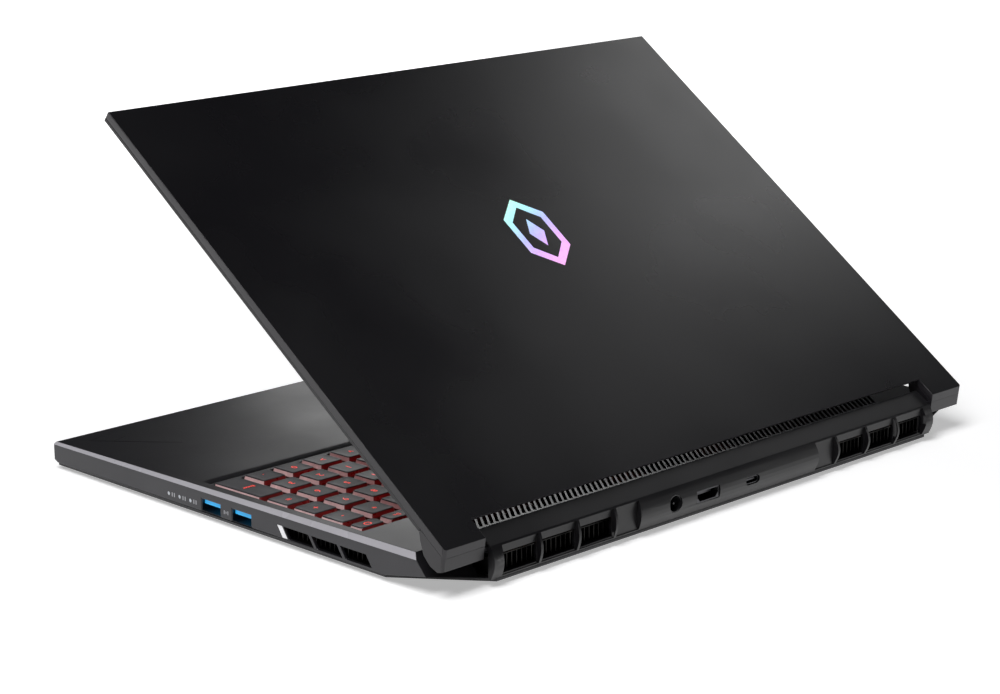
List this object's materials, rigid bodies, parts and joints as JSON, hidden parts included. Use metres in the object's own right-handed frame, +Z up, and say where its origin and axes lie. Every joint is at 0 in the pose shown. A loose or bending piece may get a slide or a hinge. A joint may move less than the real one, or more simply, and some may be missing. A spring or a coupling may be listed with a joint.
{
  "type": "laptop computer",
  "caption": "Gaming laptop with a part-open dark lid on two corner hinges, number-pad keyboard, rear exhaust windows and side ports.",
  "frame": {"origin": "centre of the base's footprint on the surface that it stands on", "axes": "+X is the user's right, -Y the front edge, +Y the rear face with the exhaust, +Z up"},
  "size_m": [0.3618, 0.2776, 0.181],
  "materials": {
    "bottom_plastic": "fine grained black moulded plastic",
    "deck_plastic": "satin dark grey painted plastic",
    "rear_plastic": "satin dark grey plastic",
    "lid_plastic": "matte near-black painted lid skin",
    "hinge_cap_plastic": "satin dark grey plastic",
    "bezel_plastic": "matte black plastic",
    "foot_rubber": "black rubber",
    "screw_steel": "blackened steel",
    "circuit_board": "green circuit board",
    "chip_silicon": "dark chip package",
    "memory_board": "green module with black chips",
    "drive_board": "black module",
    "radio_board": "blue module",
    "battery_wrap": "black battery wrap",
    "speaker_plastic": "black plastic",
    "pipe_copper": "copper",
    "fin_aluminium": "thin bare fins",
    "fan_plastic": "black plastic",
    "plate_aluminium": "stamped plate",
    "membrane_red": "key membrane with a red backlight",
    "keycap_plastic": "dark grey keycap with red legend and clear skirt",
    "touchpad_plastic": "smooth satin plastic",
    "port_steel": "formed port shell",
    "port_blue": "blue contact carrier",
    "port_black": "black connector body",
    "light_lens": "clear lens",
    "hinge_steel": "zinc plated steel",
    "screen_glass": "dark anti-glare display surface",
    "camera_body": "camera board with a dark lens",
    "emblem_film": "iridescent film, green to lavender to pink",
    "bumper_rubber": "black rubber"
  },
  "bodies": {
    "base": {"bottom_cover": "bottom_plastic", "top_cover": "deck_plastic", "rear_cap": "rear_plastic", "rubber_feet": "foot_rubber", "bottom_screws": "screw_steel", "motherboard": "circuit_board", "processor_chips": "chip_silicon", "memory_modules": "memory_board", "storage_drives": "drive_board", "wireless_card": "radio_board", "battery_pack": "battery_wrap", "speakers": "speaker_plastic", "heat_pipes": "pipe_copper", "cold_plates": "pipe_copper", "fin_stacks": "fin_aluminium", "fan_housings": "fan_plastic", "keyboard_plate": "plate_aluminium", "key_membrane": "membrane_red", "touchpad_frame": "plate_aluminium", "usb_ports": "port_steel", "usb_tongues": "port_blue", "power_inlet": "port_black", "video_port": "port_steel", "usb_c_port": "port_steel", "network_port": "port_black", "headset_jack": "port_black", "status_lights": "light_lens", "hinge_brackets": "hinge_steel"},
    "lid": {"lid_cover": "lid_plastic", "hinge_caps": "hinge_cap_plastic", "display_bezel": "bezel_plastic", "display_panel": "screen_glass", "camera_module": "camera_body", "hinge_arms": "hinge_steel", "lid_emblem": "emblem_film", "lid_bumpers": "bumper_rubber"},
    "left_fan": {"fan_rotor_left": "fan_plastic"},
    "right_fan": {"fan_rotor_right": "fan_plastic"},
    "touchpad_body": {"touchpad": "touchpad_plastic"},
    "function_row_keys": {"keys_function_row": "keycap_plastic"},
    "key_power_body": {"key_power": "keycap_plastic"},
    "number_row_keys": {"keys_number_row": "keycap_plastic"},
    "key_backspace_body": {"key_backspace": "keycap_plastic"},
    "upper_row_keys": {"keys_upper_row": "keycap_plastic"},
    "key_tab_body": {"key_tab": "keycap_plastic"},
    "home_row_keys": {"keys_home_row": "keycap_plastic"},
    "key_caps_lock_body": {"key_caps_lock": "keycap_plastic"},
    "key_enter_body": {"key_enter": "keycap_plastic"},
    "lower_row_keys": {"keys_lower_row": "keycap_plastic"},
    "key_left_shift_body": {"key_left_shift": "keycap_plastic"},
    "key_right_shift_body": {"key_right_shift": "keycap_plastic"},
    "bottom_row_keys": {"keys_bottom_row": "keycap_plastic"},
    "key_space_body": {"key_space": "keycap_plastic"},
    "key_numpad_enter_body": {"key_numpad_enter": "keycap_plastic"},
    "key_up_body": {"key_up": "keycap_plastic"},
    "key_left_body": {"key_left": "keycap_plastic"},
    "key_down_body": {"key_down": "keycap_plastic"},
    "key_right_body": {"key_right": "keycap_plastic"}
  },
  "joints": [
    {"name": "lid_hinge", "type": "hinge", "parent": "base", "child": "lid", "pos_m": [0, 0.1326, 0.0173], "axis": [-1, 0, 0], "range_deg": [-36.6, 104]},
    {"name": "fan_left_spin", "type": "hinge", "parent": "base", "child": "left_fan", "pos_m": [-0.1111, 0.0587, 0.008], "axis": [0, 0, 1], "continuous": true},
    {"name": "fan_right_spin", "type": "hinge", "parent": "base", "child": "right_fan", "pos_m": [0.1111, 0.0587, 0.008], "axis": [0, 0, 1], "continuous": true},
    {"name": "touchpad_click", "type": "hinge", "parent": "base", "child": "touchpad_body", "pos_m": [-0.03666, -0.04388, 0.0142], "axis": [1, 0, 0], "range_deg": [0, 0.35], "stiffness_Nm_per_rad": 12, "springref_deg": -0.23},
    {"name": "function_row_press", "type": "slide", "parent": "base", "child": "function_row_keys", "axis": [0, 0.0147, -0.9999], "range_m": [0, 0.0013], "stiffness_N_per_m": 4500, "springref_m": -0.001},
    {"name": "key_power_press", "type": "slide", "parent": "base", "child": "key_power_body", "axis": [0, 0.0147, -0.9999], "range_m": [0, 0.0013], "stiffness_N_per_m": 250, "springref_m": -0.001},
    {"name": "number_row_press", "type": "slide", "parent": "base", "child": "number_row_keys", "axis": [0, 0.0147, -0.9999], "range_m": [0, 0.0013], "stiffness_N_per_m": 4250, "springref_m": -0.001},
    {"name": "key_backspace_press", "type": "slide", "parent": "base", "child": "key_backspace_body", "axis": [0, 0.0147, -0.9999], "range_m": [0, 0.0013], "stiffness_N_per_m": 250, "springref_m": -0.001},
    {"name": "upper_row_press", "type": "slide", "parent": "base", "child": "upper_row_keys", "axis": [0, 0.0147, -0.9999], "range_m": [0, 0.0013], "stiffness_N_per_m": 4250, "springref_m": -0.001},
    {"name": "key_tab_press", "type": "slide", "parent": "base", "child": "key_tab_body", "axis": [0, 0.0147, -0.9999], "range_m": [0, 0.0013], "stiffness_N_per_m": 250, "springref_m": -0.001},
    {"name": "home_row_press", "type": "slide", "parent": "base", "child": "home_row_keys", "axis": [0, 0.0147, -0.9999], "range_m": [0, 0.0013], "stiffness_N_per_m": 3750, "springref_m": -0.001},
    {"name": "key_caps_lock_press", "type": "slide", "parent": "base", "child": "key_caps_lock_body", "axis": [0, 0.0147, -0.9999], "range_m": [0, 0.0013], "stiffness_N_per_m": 250, "springref_m": -0.001},
    {"name": "key_enter_press", "type": "slide", "parent": "base", "child": "key_enter_body", "axis": [0, 0.0147, -0.9999], "range_m": [0, 0.0013], "stiffness_N_per_m": 250, "springref_m": -0.001},
    {"name": "lower_row_press", "type": "slide", "parent": "base", "child": "lower_row_keys", "axis": [0, 0.0147, -0.9999], "range_m": [0, 0.0013], "stiffness_N_per_m": 3250, "springref_m": -0.001},
    {"name": "key_left_shift_press", "type": "slide", "parent": "base", "child": "key_left_shift_body", "axis": [0, 0.0147, -0.9999], "range_m": [0, 0.0013], "stiffness_N_per_m": 250, "springref_m": -0.001},
    {"name": "key_right_shift_press", "type": "slide", "parent": "base", "child": "key_right_shift_body", "axis": [0, 0.0147, -0.9999], "range_m": [0, 0.0013], "stiffness_N_per_m": 250, "springref_m": -0.001},
    {"name": "bottom_row_press", "type": "slide", "parent": "base", "child": "bottom_row_keys", "axis": [0, 0.0147, -0.9999], "range_m": [0, 0.0013], "stiffness_N_per_m": 2250, "springref_m": -0.001},
    {"name": "key_space_press", "type": "slide", "parent": "base", "child": "key_space_body", "axis": [0, 0.0147, -0.9999], "range_m": [0, 0.0013], "stiffness_N_per_m": 250, "springref_m": -0.001},
    {"name": "key_numpad_enter_press", "type": "slide", "parent": "base", "child": "key_numpad_enter_body", "axis": [0, 0.0147, -0.9999], "range_m": [0, 0.0013], "stiffness_N_per_m": 250, "springref_m": -0.001},
    {"name": "key_up_press", "type": "slide", "parent": "base", "child": "key_up_body", "axis": [0, 0.0147, -0.9999], "range_m": [0, 0.0013], "stiffness_N_per_m": 250, "springref_m": -0.001},
    {"name": "key_left_press", "type": "slide", "parent": "base", "child": "key_left_body", "axis": [0, 0.0147, -0.9999], "range_m": [0, 0.0013], "stiffness_N_per_m": 250, "springref_m": -0.001},
    {"name": "key_down_press", "type": "slide", "parent": "base", "child": "key_down_body", "axis": [0, 0.0147, -0.9999], "range_m": [0, 0.0013], "stiffness_N_per_m": 250, "springref_m": -0.001},
    {"name": "key_right_press", "type": "slide", "parent": "base", "child": "key_right_body", "axis": [0, 0.0147, -0.9999], "range_m": [0, 0.0013], "stiffness_N_per_m": 250, "springref_m": -0.001}
  ]
}
